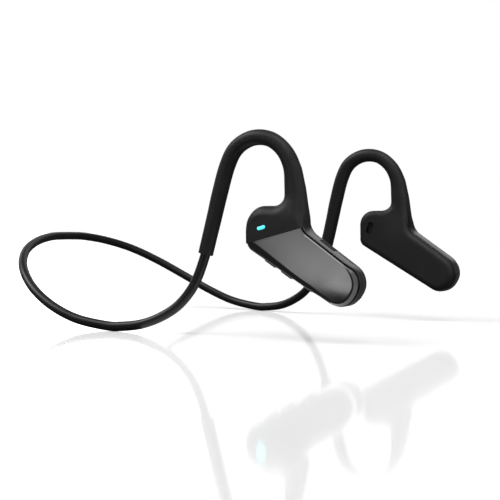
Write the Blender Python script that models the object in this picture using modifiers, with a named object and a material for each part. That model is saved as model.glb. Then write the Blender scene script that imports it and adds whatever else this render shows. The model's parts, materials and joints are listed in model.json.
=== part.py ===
"""Open-ear bone conduction headphones: two earpieces joined by a sprung neckband.

Sizes are in millimetres and turn into metres through MM. The wearer faces +X, +Z is up and the floor
is Z = 0. The right earpiece lies at -Y. Every piece of an earpiece is drawn on the right, and the left
one is its mirror image. "Depth" is the distance from the mid-plane Y = 0, so outer faces are deepest.
"""

import math

import bmesh
import bpy
from mathutils import Matrix, Vector

MM = 0.001
GAP = 0.3

# Earpiece housing: corners (x, z, corner radius), anticlockwise from the neck's left side.
NECK_TOP = 57.4
NECK_LEFT, NECK_RIGHT = 63.7, 72.0
LOBE_TOP, LOBE_LEFT = 51.1, 48.3
LOWER_EDGE_START = (50.2, 36.0)
LOWER_EDGE_ANGLE = math.radians(-31.7)
TOP_EDGE_START = (73.3, 41.9)
TOP_EDGE_ANGLE = math.radians(-35.0)
TIP_LOW, TIP_HIGH = (89.3, 11.85), (97.5, 24.8)
TIP_RADIUS_LOW, TIP_RADIUS_HIGH = 7.3, 8.0

# Depths of the housing's layers.
POD_MIDDLE = 51.3
OUTER_FACE, PARTING, INNER_FACE = 57.05, 49.2, 45.55
COVER_DEPTH, COVER_THICKNESS = 57.15, 1.0
OUTER_WALL_INSIDE, INNER_WALL_INSIDE = 54.6, 46.9
WALL = 1.4
OUTER_RIM, INNER_RIM, INNER_INSET = 1.8, 2.4, 0.5

# Towards the neck each tray gets thinner: height where that starts, and the share left at the top.
OUTER_TAPER, INNER_TAPER = (46.0, 0.68), (40.0, 0.3)

# The gloss cover's upper end: a straight seam across the housing.
SEAM_POINT, SEAM_ANGLE = (54.5, 38.1), math.radians(13.9)
COVER_INSET = 1.6

# Ear hook and neckband: tube sizes, then the route of one half by hand, from the neck to the nape.
JACKET_RADIUS, JACKET_WALL = 2.0, 0.6
HOOK_WALL = 0.6
WIRE_RADIUS, WIRE_OFFSET = 0.4, 0.65
CABLE_RADIUS, CABLE_OFFSET = 0.45, -0.6
NAPE_GAP = 0.5
HOOK_ROUTE = (
    (67.6, -51.3, 53.9), (67.3, -51.3, 57.9), (66.1, -51.3, 65.5), (62.6, -51.3, 72.1),
    (56.4, -51.3, 76.7), (48.5, -51.3, 77.4), (41.4, -51.4, 73.9), (37.3, -51.6, 67.1),
    (33.9, -52.0, 55.8), (32.0, -52.3, 48.2), (30.0, -52.6, 40.5), (27.8, -52.8, 32.4),
)
HOOK_RADII = (4.4, 4.0, 3.4, 3.1, 3.0, 3.1, 3.2, 3.2, 3.2, 3.1, 3.05, 3.0)
BAND_ROUTE = (
    (30.0, -52.6, 40.5), (27.8, -52.8, 32.4), (23.7, -53.2, 22.0), (19.2, -53.9, 15.2),
    (13.8, -55.0, 10.0), (6.5, -56.4, 5.9), (-0.8, -57.8, 3.4), (-9.0, -59.1, 2.27),
    (-16.8, -60.2, 2.18), (-32.3, -61.7, 4.6), (-46.9, -61.5, 9.9), (-60.5, -58.5, 17.1),
    (-73.0, -51.2, 25.2), (-82.3, -40.1, 32.0), (-88.4, -26.5, 36.4), (-91.95, -12.5, 38.7),
    (-92.67, 0.0, 39.1),
)
HOOK_STEP, BAND_STEP, WIRE_STEP = 4.5, 5.0, 6.0

# Buttons on the lower wall: place along the edge, length, how far it stands proud.
BUTTON_DEPTH, BUTTON_WIDTH, BUTTON_STEM = 52.6, 3.2, 2.45
FLANGE_END, FLANGE_SIDE, FLANGE_THICKNESS = 0.6, 0.1, 0.7
BUTTONS = {
    "volume_up": (10.4, 5.9, 1.8),
    "volume_down": (18.6, 5.9, 1.8),
    "multifunction": (28.6, 4.4, 1.2),
}

# Charging socket in the upper wall, and its hinged cover.
PORT_ALONG, PORT_DEPTH = 9.6, 51.6
PORT_LENGTH, PORT_WIDTH = 5.9, 3.7
PORT_COVER_THICKNESS = 0.9
SOCKET_LENGTH, SOCKET_WIDTH, SOCKET_HEIGHT, SOCKET_WALL = 5.2, 2.8, 3.6, 0.4

# Status light in the lobe.
LED_CENTRE, LED_ANGLE, LED_LENGTH, LED_WIDTH = (55.8, 42.75), math.radians(15.4), 4.1, 1.8

# Sound slot in the inner face, with its mesh.
SLOT_CENTRE, SLOT_ANGLE, SLOT_LENGTH, SLOT_WIDTH = (54.6, 43.0), math.radians(68.0), 5.6, 2.7

# Driver, on an axis across the lobe: outer radius, inner radius, depth from, depth to.
DRIVER_CENTRE = (59.2, 42.6)
YOKE_RADIUS, YOKE_WALL, YOKE_FLOOR = 6.0, 0.7, 0.8
YOKE_DEPTHS = (50.6, 54.2)
DRIVER_RINGS = {
    "driver_magnet": (3.9, 0.0, 51.2, 53.1),
    "voice_coil": (4.9, 4.3, 49.9, 52.6),
    "vibration_plate": (5.6, 0.0, 49.1, 49.6),
    "driver_gasket": (5.8, 4.7, 47.7, 48.2),
}

# Electronics.
BOARD_INSET, BOARD_DEPTHS = 3.2, (49.1, 49.8)
BOARD_CUT_ALONG = 5.5
BATTERY_CENTRE, BATTERY_SIZE = (77.4, 27.9), (21.0, 9.8, 4.2)

MATERIALS = {
    "silicone": ((0.014, 0.014, 0.015), 0.62, 0.0),
    "soft_touch": ((0.016, 0.016, 0.017), 0.55, 0.0),
    "gloss_black": ((0.020, 0.020, 0.022), 0.16, 0.0),
    "button_rubber": ((0.012, 0.012, 0.012), 0.5, 0.0),
    "light_guide": ((0.10, 0.75, 0.85), 0.3, 0.0),
    "steel": ((0.55, 0.55, 0.57), 0.3, 1.0),
    "titanium": ((0.42, 0.41, 0.40), 0.35, 1.0),
    "magnet": ((0.32, 0.32, 0.34), 0.25, 1.0),
    "copper": ((0.72, 0.36, 0.18), 0.3, 1.0),
    "circuit_board": ((0.02, 0.16, 0.07), 0.4, 0.0),
    "chip": ((0.02, 0.02, 0.022), 0.45, 0.0),
    "foil": ((0.62, 0.63, 0.66), 0.35, 0.9),
    "seal": ((0.05, 0.05, 0.055), 0.7, 0.0),
}


# ---------------------------------------------------------------- scene and objects


def clear_scene():
    for obj in list(bpy.data.objects):
        bpy.data.objects.remove(obj)


def new_collection(name):
    collection = bpy.data.collections.new(name)
    bpy.context.scene.collection.children.link(collection)
    return collection


def make_materials():
    for name, (colour, roughness, metallic) in MATERIALS.items():
        material = bpy.data.materials.new(name)
        material.use_nodes = True
        shader = material.node_tree.nodes["Principled BSDF"]
        shader.inputs["Base Color"].default_value = (*colour, 1.0)
        shader.inputs["Roughness"].default_value = roughness
        shader.inputs["Metallic"].default_value = metallic


def add_object(name, data, place=None):
    obj = bpy.data.objects.new(name, data)
    parts.objects.link(obj)
    obj.matrix_world = place or Matrix()
    return obj


def as_cutter(obj):
    parts.objects.unlink(obj)
    cutters.objects.link(obj)
    obj.hide_render = True
    obj.display_type = "WIRE"
    return obj


def finish(obj, material):
    """Applies the modifiers, shades the piece and gives it its material."""
    bpy.context.view_layer.update()
    evaluated = obj.evaluated_get(bpy.context.evaluated_depsgraph_get())
    mesh = bpy.data.meshes.new_from_object(evaluated)
    obj.modifiers.clear()
    obj.data = mesh
    mesh.materials.clear()
    mesh.materials.append(bpy.data.materials[material])
    mesh.shade_smooth()
    mesh.set_sharp_from_angle(angle=math.radians(35))
    return obj


def boolean(obj, other, operation="DIFFERENCE"):
    modifier = obj.modifiers.new(other.name, "BOOLEAN")
    modifier.operation = operation
    modifier.object = other
    return obj


def mesh_from_curve(obj):
    """The same object as a mesh, with the curve's loose caps welded."""
    bpy.context.view_layer.update()
    evaluated = obj.evaluated_get(bpy.context.evaluated_depsgraph_get())
    mesh = bpy.data.meshes.new_from_object(evaluated)
    welded = bmesh.new()
    welded.from_mesh(mesh)
    bmesh.ops.remove_doubles(welded, verts=welded.verts, dist=0.00001)
    bmesh.ops.recalc_face_normals(welded, faces=welded.faces)
    welded.to_mesh(mesh)
    welded.free()
    name, place = obj.name, obj.matrix_world.copy()
    bpy.data.objects.remove(obj)
    return add_object(name, mesh, place)


# ---------------------------------------------------------------- outlines


def rounded(corners, step=math.radians(20)):
    """The points of a closed outline whose corners (x, z, radius) are rounded by arcs."""
    points = []
    for index, (x, z, radius) in enumerate(corners):
        here = Vector((x, z))
        back = (Vector(corners[index - 1][:2]) - here).normalized()
        ahead = (Vector(corners[(index + 1) % len(corners)][:2]) - here).normalized()
        if radius <= 0:
            points.append(here)
            continue
        half = back.angle(ahead) / 2
        centre = here + (back + ahead).normalized() * radius / math.sin(half)
        first = here + back * radius / math.tan(half) - centre
        turn = math.pi - 2 * half
        side = 1 if back.x * ahead.y - back.y * ahead.x < 0 else -1
        count = max(2, round(turn / step))
        for number in range(count + 1):
            angle = side * turn * number / count
            points.append(centre + Matrix.Rotation(angle, 2) @ first)
    return points


def inset(corners, distance):
    """The corners of an anticlockwise outline moved inwards, with radii that keep the wall even."""
    moved = []
    for index, (x, z, radius) in enumerate(corners):
        here = Vector((x, z))
        back = (here - Vector(corners[index - 1][:2])).normalized()
        ahead = (Vector(corners[(index + 1) % len(corners)][:2]) - here).normalized()
        bend = back.x * ahead.y - back.y * ahead.x
        inward = Vector((-back.y, back.x)) + Vector((-ahead.y, ahead.x))
        here += inward * distance / (1 + back.dot(ahead))
        moved.append((*here, max(radius - math.copysign(distance, bend), 0.4) if radius else 0))
    return moved


def pod_corners(neck_top=NECK_TOP):
    """The housing's outline, anticlockwise, with the neck cut off at the given height."""
    return [
        (NECK_RIGHT, neck_top, 0),
        (NECK_LEFT, neck_top, 0),
        (NECK_LEFT - 0.3, LOBE_TOP, 4.5),
        (LOBE_LEFT, LOBE_TOP, 7.0),
        (LOBE_LEFT + 0.1, 37.1, 5.0),
        (*TIP_LOW, TIP_RADIUS_LOW),
        (*TIP_HIGH, TIP_RADIUS_HIGH),
        (*TOP_EDGE_START, 6.0),
    ]


def pill(length, width):
    radius = width / 2
    half = length / 2
    box = [(half, radius), (-half, radius), (-half, -radius), (half, -radius)]
    return rounded([(x, z, radius * 0.98) for x, z in box], math.radians(36))


def drawn_at(depth, centre=(0, 0), angle=0):
    """Places a drawing in the XZ plane: its x stays X, its y becomes Z, and its normal is -Y."""
    place = Matrix.Translation((centre[0] * MM, -depth * MM, centre[1] * MM))
    return place @ Matrix.Rotation(math.pi / 2, 4, "X") @ Matrix.Rotation(angle, 4, "Z")


def plate(name, outlines, low, high, centre=(0, 0), angle=0):
    """A flat piece between two depths; the second and later outlines are holes."""
    curve = bpy.data.curves.new(name, "CURVE")
    curve.dimensions = "2D"
    curve.fill_mode = "BOTH"
    curve.extrude = (high - low) / 2 * MM
    for outline in outlines:
        spline = curve.splines.new("POLY")
        spline.points.add(len(outline) - 1)
        for point, (x, z) in zip(spline.points, outline):
            point.co = (x * MM, z * MM, 0, 1)
        spline.use_cyclic_u = True
    return mesh_from_curve(add_object(name, curve, drawn_at((low + high) / 2, centre, angle)))


def round_rim(obj, radius, outer):
    """Rounds the edges round the outer or the inner face of a plate."""
    solid = bmesh.new()
    solid.from_mesh(obj.data)
    level = max(v.co.z for v in solid.verts) * (1 if outer else -1)
    rim = [e for e in solid.edges if all(abs(v.co.z - level) < 1e-7 for v in e.verts)]
    rim = [e for e in rim if any(abs(f.normal.z) < 0.5 for f in e.link_faces)]
    bmesh.ops.bevel(
        solid, geom=rim, offset=radius * MM, segments=3, profile=0.5, affect="EDGES", clamp_overlap=True
    )
    solid.to_mesh(obj.data)
    solid.free()
    return obj


# ---------------------------------------------------------------- blocks, turned pieces and tubes


def block(name, size, place, rounding=0.0):
    solid = bmesh.new()
    bmesh.ops.create_cube(solid, size=1.0, matrix=Matrix.Diagonal((*(s * MM for s in size), 1.0)))
    if rounding:
        bmesh.ops.bevel(solid, geom=solid.edges, offset=rounding * MM, segments=2, profile=0.5, affect="EDGES")
    mesh = bpy.data.meshes.new(name)
    solid.to_mesh(mesh)
    solid.free()
    return add_object(name, mesh, place)


def turned(name, profile, centre):
    """Turns a profile of (radius, depth) points, from the deepest end down its outer side."""
    solid = bmesh.new()
    points = [solid.verts.new((radius * MM, 0, depth * MM)) for radius, depth in profile]
    for first, second in zip(points, points[1:]):
        solid.edges.new((first, second))
    if profile[0][0] > 0:
        solid.edges.new((points[-1], points[0]))
    mesh = bpy.data.meshes.new(name)
    solid.to_mesh(mesh)
    solid.free()
    obj = add_object(name, mesh, drawn_at(0, centre))
    screw = obj.modifiers.new("Screw", "SCREW")
    screw.steps = screw.render_steps = 20
    screw.use_merge_vertices = True
    screw.merge_threshold = 0.00001
    return obj


def smooth_route(points, step):
    """Points about a step apart along a Catmull-Rom curve through the given ones."""
    points = [Vector(p) for p in points]
    line = [points[0] * 2 - points[1]] + points + [points[-1] * 2 - points[-2]]
    route = []
    for a, b, c, d in zip(line, line[1:], line[2:], line[3:]):
        count = max(1, round((c - b).length / step))
        for number in range(count):
            t = number / count
            route.append(
                0.5 * (2 * b + (c - a) * t + (2 * a - 5 * b + 4 * c - d) * t * t + (3 * b - a - 3 * c + d) * t**3)
            )
    return route + [points[-1]]


def beside(route, offset):
    """The route moved sideways by an offset that is carried along it without twisting."""
    sideways = Vector((0, 1, 0))
    moved = []
    for index, point in enumerate(route):
        ahead = route[min(index + 1, len(route) - 1)] - route[max(index - 1, 0)]
        sideways = (sideways - ahead * sideways.dot(ahead) / ahead.length_squared).normalized()
        moved.append(point + sideways * offset)
    return moved


def tube(name, route, radii, resolution=2, caps=True):
    curve = bpy.data.curves.new(name, "CURVE")
    curve.dimensions = "3D"
    curve.bevel_depth = MM
    curve.bevel_resolution = resolution
    curve.use_fill_caps = caps
    spline = curve.splines.new("POLY")
    spline.points.add(len(route) - 1)
    for point, place, radius in zip(spline.points, route, radii):
        point.co = (*(place * MM), 1)
        point.radius = radius
    return mesh_from_curve(add_object(name, curve))


def pipe(name, route, radii, wall, resolution=2):
    obj = tube(name, route, radii, resolution, caps=False)
    solidify = obj.modifiers.new("Wall", "SOLIDIFY")
    solidify.thickness = wall * MM
    solidify.offset = -1
    return obj


# ---------------------------------------------------------------- housing


def half_plane(name, above, margin):
    """A cutter that covers everything above, or below, the cover's seam."""
    size = 80
    shift = size / 2 + margin
    corner = Vector(SEAM_POINT) + Matrix.Rotation(SEAM_ANGLE, 2) @ Vector((0, shift if above else -shift))
    place = drawn_at(POD_MIDDLE, corner, SEAM_ANGLE)
    return as_cutter(block(name, (2 * size, size, 40), place))


def taper_neck(obj, start, share, parting):
    """Thins a tray towards the neck, where it meets the round hook, and leaves its parting face flat."""
    solid = bmesh.new()
    solid.from_mesh(obj.data)
    solid.transform(obj.matrix_world)
    for number in range(5):
        height = start + (NECK_TOP - start) * number / 5
        geometry = solid.verts[:] + solid.edges[:] + solid.faces[:]
        bmesh.ops.bisect_plane(solid, geom=geometry, plane_co=(0, 0, height * MM), plane_no=(0, 0, 1))
    for vertex in solid.verts:
        part = min(max((vertex.co.z / MM - start) / (NECK_TOP - start), 0), 1)
        right = min(max((vertex.co.x / MM - 56.0) / 7.0, 0), 1)
        ratio = 1 - (1 - share) * part * part * (3 - 2 * part) * right
        vertex.co.y = -parting * MM + (vertex.co.y + parting * MM) * ratio
    solid.transform(obj.matrix_world.inverted())
    solid.to_mesh(obj.data)
    solid.free()
    return obj


def shell(name, low, high, outer):
    """One tray of the housing, hollow from its parting face."""
    radius = OUTER_RIM if outer else INNER_RIM
    outline = [rounded(inset(pod_corners(), 0 if outer else INNER_INSET))]
    body = round_rim(plate(name, outline, low, high), radius, outer)
    hollow = [rounded(inset(pod_corners(NECK_TOP + 5), WALL))]
    depths = (low - 5, OUTER_WALL_INSIDE) if outer else (INNER_WALL_INSIDE, high + 5)
    return boolean(body, as_cutter(plate(name + "_hollow", hollow, *depths)))


def wall_frame(edge_start, edge_angle, along, depth, below):
    """A frame on a wall of the housing: X along the edge, Z out of the wall."""
    direction = Vector((math.cos(edge_angle), math.sin(edge_angle)))
    origin = Vector(edge_start) + direction * along
    turn = Matrix.Rotation(-edge_angle, 4, "Y")
    if below:
        turn = turn @ Matrix.Rotation(math.pi, 4, "X")
    return Matrix.Translation((origin.x * MM, -depth * MM, origin.y * MM)) @ turn


def lower_wall(along, depth=BUTTON_DEPTH):
    return wall_frame(LOWER_EDGE_START, LOWER_EDGE_ANGLE, along, depth, below=True)


def upper_wall(along, depth=PORT_DEPTH):
    return wall_frame(TOP_EDGE_START, TOP_EDGE_ANGLE, along, depth, below=False)


def shifted(frame, x=0.0, y=0.0, z=0.0):
    return frame @ Matrix.Translation((x * MM, y * MM, z * MM))


def button_slots(obj):
    for label, (along, length, _) in BUTTONS.items():
        size = (length + 2 * GAP, BUTTON_WIDTH + 2 * GAP, 4.0)
        boolean(obj, as_cutter(block(label + "_slot", size, lower_wall(along), 0.3)))


def lobe_cover(side):
    obj = shell(side + "_lobe_cover", PARTING + GAP / 2, OUTER_FACE, True)
    boolean(obj, half_plane(side + "_below_seam", False, -GAP / 2))
    if side == "right":
        window = pill(LED_LENGTH + 2 * GAP, LED_WIDTH + 2 * GAP)
        boolean(obj, as_cutter(plate("led_window", [window], 50, 60, LED_CENTRE, LED_ANGLE)))
    return taper_neck(finish(obj, "silicone"), *OUTER_TAPER, PARTING + GAP / 2)


def outer_shell(side):
    obj = shell(side + "_outer_shell", PARTING + GAP / 2, OUTER_FACE, True)
    boolean(obj, half_plane(side + "_above_seam", True, -GAP / 2))
    recess = [rounded(inset(pod_corners(), COVER_INSET - GAP))]
    low = COVER_DEPTH - COVER_THICKNESS - GAP
    boolean(obj, as_cutter(plate(side + "_cover_recess", recess, low, 60)))
    if side == "right":
        button_slots(obj)
        window = (PORT_LENGTH + 2 * GAP, PORT_WIDTH + 2 * GAP, 6.0)
        boolean(obj, as_cutter(block("port_window", window, upper_wall(PORT_ALONG), 0.3)))
    return finish(obj, "gloss_black")


def inner_shell(side):
    obj = shell(side + "_inner_shell", INNER_FACE, PARTING - GAP / 2, False)
    slot = pill(SLOT_LENGTH, SLOT_WIDTH)
    boolean(obj, as_cutter(plate(side + "_sound_slot", [slot], 44, 48, SLOT_CENTRE, SLOT_ANGLE)))
    return taper_neck(finish(obj, "soft_touch"), *INNER_TAPER, PARTING - GAP / 2)


def gloss_cover(side):
    outline = [rounded(inset(pod_corners(), COVER_INSET))]
    obj = plate(side + "_gloss_cover", outline, COVER_DEPTH - COVER_THICKNESS, COVER_DEPTH)
    boolean(round_rim(obj, 0.35, True), half_plane(side + "_above_cover", True, -GAP * 1.5))
    return finish(obj, "gloss_black")


def shell_seal(side):
    corners = pod_corners(NECK_TOP - 3)
    rings = [rounded(inset(corners, WALL + distance), math.radians(30)) for distance in (0.35, 1.0)]
    return finish(plate(side + "_shell_seal", rings, 48.5, 49.7), "seal")


def sound_mesh(side):
    outline = pill(SLOT_LENGTH - 2 * GAP, SLOT_WIDTH - 2 * GAP)
    obj = plate(side + "_sound_mesh", [outline], 46.1, 46.5, SLOT_CENTRE, SLOT_ANGLE)
    return finish(obj, "steel")


# ---------------------------------------------------------------- driver


def ring_profile(outer, inner, low, high):
    if inner == 0:
        return [(0, high), (outer, high), (outer, low), (0, low)]
    return [(outer, high), (outer, low), (inner, low), (inner, high)]


def driver(side):
    rim, back = YOKE_DEPTHS
    bore, floor = YOKE_RADIUS - YOKE_WALL, back - YOKE_FLOOR
    cup = [(0, back), (YOKE_RADIUS, back), (YOKE_RADIUS, rim), (bore, rim), (bore, floor), (0, floor)]
    pieces = [finish(turned(side + "_driver_yoke", cup, DRIVER_CENTRE), "steel")]
    looks = dict(zip(DRIVER_RINGS, ("magnet", "copper", "titanium", "seal")))
    for label, sizes in DRIVER_RINGS.items():
        ring = turned(f"{side}_{label}", ring_profile(*sizes), DRIVER_CENTRE)
        pieces.append(finish(ring, looks[label]))
    return pieces


# ---------------------------------------------------------------- hook, neckband and what runs inside


def ear_hook(side):
    route = smooth_route(HOOK_ROUTE, HOOK_STEP)[1:]
    spans = [Vector(b) - Vector(a) for a, b in zip(HOOK_ROUTE, HOOK_ROUTE[1:])]
    radii = []
    for first, second, span in zip(HOOK_RADII, HOOK_RADII[1:], spans):
        count = max(1, round(span.length / HOOK_STEP))
        radii += [first + (second - first) * number / count for number in range(count)]
    radii = (radii + [HOOK_RADII[-1]])[1:]
    obj = pipe(side + "_ear_hook", route, radii, HOOK_WALL, resolution=3)
    return finish(obj, "silicone")


def band_points(step):
    return smooth_route(BAND_ROUTE, step)


def end_at_nape(route):
    """Stops the last point just short of the mid-plane, where the two halves meet."""
    return route[:-1] + [Vector((route[-1].x, -NAPE_GAP, route[-1].z))]


def neckband_jacket(side):
    route = end_at_nape(band_points(BAND_STEP))
    obj = pipe(side + "_neckband_jacket", route, [JACKET_RADIUS] * len(route), JACKET_WALL)
    return finish(obj, "silicone")


def inner_run(side, label, offset, radius, material):
    """A wire through hook and neckband, beside their common centre line."""
    whole = [(67.8, -51.3, 50.6)] + list(HOOK_ROUTE[:-1]) + list(BAND_ROUTE[1:])
    route = end_at_nape(beside(smooth_route(whole, WIRE_STEP), offset))
    return finish(tube(f"{side}_{label}", route, [radius] * len(route)), material)


def wire_anchor(side):
    obj = block(side + "_wire_anchor", (2.6, 3.4, 3.0), drawn_at(POD_MIDDLE, (68.2, 47.6)), 0.3)
    return finish(obj, "steel")


# ---------------------------------------------------------------- controls and electronics of the right earpiece


def press_button(label, along, length, proud):
    frame = lower_wall(along)
    height = proud + BUTTON_STEM
    cap = block(label + "_button", (length, BUTTON_WIDTH, height), shifted(frame, z=proud - height / 2), 0.3)
    size = (length + 2 * FLANGE_END, BUTTON_WIDTH + 2 * FLANGE_SIDE, FLANGE_THICKNESS)
    flange = block(label + "_flange", size, shifted(frame, z=FLANGE_THICKNESS / 2 - BUTTON_STEM))
    return finish(boolean(cap, as_cutter(flange), "UNION"), "button_rubber")


def tact_switch(label, along):
    top = -BUTTON_STEM - 0.65
    body = block(label + "_switch", (4.0, 3.4, 1.6), shifted(lower_wall(along, 52.4), z=top - 0.8), 0.2)
    return finish(body, "steel")


def port_cover():
    place = shifted(upper_wall(PORT_ALONG), z=-PORT_COVER_THICKNESS / 2)
    return finish(block("port_cover", (PORT_LENGTH, PORT_WIDTH, PORT_COVER_THICKNESS), place, 0.3), "button_rubber")


def charging_socket():
    frame = shifted(upper_wall(PORT_ALONG), z=-PORT_COVER_THICKNESS - GAP - SOCKET_HEIGHT / 2)
    obj = block("charging_socket", (SOCKET_LENGTH, SOCKET_WIDTH, SOCKET_HEIGHT), frame, 0.25)
    size = (SOCKET_LENGTH - 2 * SOCKET_WALL, SOCKET_WIDTH - 2 * SOCKET_WALL, SOCKET_HEIGHT)
    boolean(obj, as_cutter(block("socket_mouth", size, shifted(frame, z=SOCKET_WALL))))
    return finish(obj, "steel")


def main_board():
    outline = [rounded(inset(pod_corners(), BOARD_INSET))]
    obj = plate("main_board", outline, *BOARD_DEPTHS)
    lobe_side = shifted(lower_wall(BOARD_CUT_ALONG, POD_MIDDLE), x=-30)
    boolean(obj, as_cutter(block("board_end", (60, 20, 80), lobe_side)))
    boolean(obj, half_plane("above_board", True, -3.2))
    return finish(obj, "circuit_board")


def right_electronics():
    low, high = BOARD_DEPTHS
    chip = block("bluetooth_chip", (5, 5, 0.9), drawn_at(low - GAP - 0.45, (75.0, 29.0), LOWER_EDGE_ANGLE), 0.1)
    finish(chip, "chip")
    place = drawn_at(high + GAP + 0.5, (86.5, 21.5), LOWER_EDGE_ANGLE)
    finish(block("microphone", (2.8, 1.9, 1.0), place, 0.15), "foil")
    lens = plate("led_lens", [pill(LED_LENGTH, LED_WIDTH)], 55.9, 57.15, LED_CENTRE, LED_ANGLE)
    finish(round_rim(lens, 0.2, True), "light_guide")
    place = drawn_at(55.3, LED_CENTRE, LED_ANGLE)
    finish(block("led_chip", (1.6, 0.8, 0.6), place), "chip")


def left_electronics():
    cell = block("battery", BATTERY_SIZE, drawn_at(52.1, BATTERY_CENTRE, math.radians(-33)), 0.8)
    board = block("protection_board", (9.0, 2.0, 0.8), drawn_at(50.6, (67.2, 34.6), math.radians(57)), 0.0)
    return [finish(cell, "foil"), finish(board, "circuit_board")]


# ---------------------------------------------------------------- assembly


def earpiece(side):
    pieces = [lobe_cover(side), outer_shell(side), inner_shell(side), gloss_cover(side)]
    pieces += [shell_seal(side), sound_mesh(side), wire_anchor(side)]
    pieces += driver(side)
    pieces += [ear_hook(side), neckband_jacket(side)]
    pieces.append(inner_run(side, "spring_wire", WIRE_OFFSET, WIRE_RADIUS, "titanium"))
    pieces.append(inner_run(side, "signal_cable", CABLE_OFFSET, CABLE_RADIUS, "copper"))
    return pieces


def hang_on(parent_name, place, pieces):
    """Parents pieces to an empty on their joint's axis, without moving them."""
    empty = add_object(parent_name, None, place)
    bpy.context.view_layer.update()
    for piece in pieces:
        matrix = piece.matrix_world.copy()
        piece.parent = empty
        piece.matrix_parent_inverse = place.inverted()
        piece.matrix_world = matrix


def build():
    earpiece("right")
    for label, (along, length, proud) in BUTTONS.items():
        press_button(label, along, length, proud)
        tact_switch(label, along)
    cover = port_cover()
    charging_socket()
    main_board()
    right_electronics()
    left = earpiece("left") + left_electronics()
    mirror = Matrix.Scale(-1, 4, (0, 1, 0))
    for piece in left:
        piece.matrix_world = mirror @ piece.matrix_world
    nape = Matrix.Translation((BAND_ROUTE[-1][0] * MM, 0, BAND_ROUTE[-1][2] * MM))
    hang_on("neckband_flex_axis", nape, left)
    hang_on("port_cover_hinge_axis", shifted(upper_wall(PORT_ALONG), x=-PORT_LENGTH / 2), [cover])


clear_scene()
parts = new_collection("bone_conduction_headphones")
cutters = new_collection("cutters")
make_materials()
build()
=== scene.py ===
"""Looks of the open-ear bone conduction headphones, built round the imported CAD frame.

Shapes are worked out in millimetres and turn into metres through MM. The wearer faces +X, +Z is up and
the floor is Z = 0. "Depth" is the distance from the mid-plane Y = 0, so an earpiece's outer face is its
deepest. Every piece of an earpiece is shaped on the right, at -Y, and the left one is its mirror image.
"""

import json
import math

import bmesh
import bpy
import numpy as np
from mathutils import Matrix, Vector


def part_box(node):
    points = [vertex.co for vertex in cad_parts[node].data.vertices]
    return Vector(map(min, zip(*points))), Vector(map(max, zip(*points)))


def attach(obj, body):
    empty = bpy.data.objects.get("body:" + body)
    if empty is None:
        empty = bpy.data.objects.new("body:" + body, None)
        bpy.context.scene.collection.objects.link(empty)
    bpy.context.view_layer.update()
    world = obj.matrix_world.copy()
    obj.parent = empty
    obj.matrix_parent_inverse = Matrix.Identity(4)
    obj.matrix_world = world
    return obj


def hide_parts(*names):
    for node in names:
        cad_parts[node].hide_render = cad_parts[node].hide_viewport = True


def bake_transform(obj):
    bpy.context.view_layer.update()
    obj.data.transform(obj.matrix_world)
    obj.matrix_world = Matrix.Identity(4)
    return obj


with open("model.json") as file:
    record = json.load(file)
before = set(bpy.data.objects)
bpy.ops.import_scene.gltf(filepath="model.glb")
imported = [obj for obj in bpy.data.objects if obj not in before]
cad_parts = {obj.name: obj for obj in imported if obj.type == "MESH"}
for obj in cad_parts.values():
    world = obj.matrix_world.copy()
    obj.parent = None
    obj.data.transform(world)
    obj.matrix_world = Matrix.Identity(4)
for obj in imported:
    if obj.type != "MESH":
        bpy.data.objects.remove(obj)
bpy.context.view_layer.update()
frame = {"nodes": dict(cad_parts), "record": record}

MM = 0.001


def lowest(node):
    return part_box(node)[0] / MM


def highest(node):
    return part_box(node)[1] / MM


def middle(node):
    return (lowest(node) + highest(node)) / 2


# Depths of the earpiece's layers, from the frame.
OUTER_FACE = -lowest("right_outer_shell").y
INNER_FACE = -highest("right_inner_shell").y
COVER_FACE = -lowest("right_gloss_cover").y
PARTING = -(highest("right_outer_shell").y + lowest("right_inner_shell").y) / 2
HAIRLINE = 0.08

# Earpiece outline: corners (x, z, corner radius), anticlockwise from the top of the neck. The lower edge
# and the tip are a little fuller than the CAD's.
LOBE_LEFT = lowest("right_lobe_cover").x
NECK_TOP, LOBE_TOP = 57.4, 51.1
NECK_LEFT, NECK_RIGHT = 63.7, 72.0
LOWER_EDGE_START, LOWER_EDGE_ANGLE = (50.2, 36.0), math.radians(-31.7)
TOP_EDGE_START, TOP_EDGE_ANGLE = (73.3, 41.9), math.radians(-35.0)
TIP_LOW, TIP_HIGH = (90.1, 11.3, 7.3), (98.4, 24.6, 8.0)
POD = (
    (NECK_RIGHT, NECK_TOP, 0),
    (NECK_LEFT, NECK_TOP, 0),
    (NECK_LEFT - 0.3, LOBE_TOP, 4.5),
    (LOBE_LEFT, LOBE_TOP, 7.0),
    (LOBE_LEFT + 0.1, 35.2, 4.5),
    TIP_LOW,
    TIP_HIGH,
    (*TOP_EDGE_START, 6.0),
)

# The seam between the lobe and the gloss cover.
SEAM_POINT, SEAM_ANGLE, SEAM_GAP = (54.5, 38.1), math.radians(13.9), 0.1
SEAM_NORMAL = (-math.sin(SEAM_ANGLE), 0, math.cos(SEAM_ANGLE))

# The inner housing ends at the join height, and the earpiece begins at the lobe start, an X.
JOIN_HEIGHT, LOBE_START = 55.0, 46.0

# The neck's half width and its outer and inner depths, and how far the earpiece's edges round.
NECK_HALF_WIDTH = 4.15
NECK_OUTER, NECK_INNER = 54.5, 48.1
LOBE_RIM, INNER_RIM, INNER_RIM_DEPTH = 1.9, 2.8, 2.3
INNER_INSET = 0.5

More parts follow.
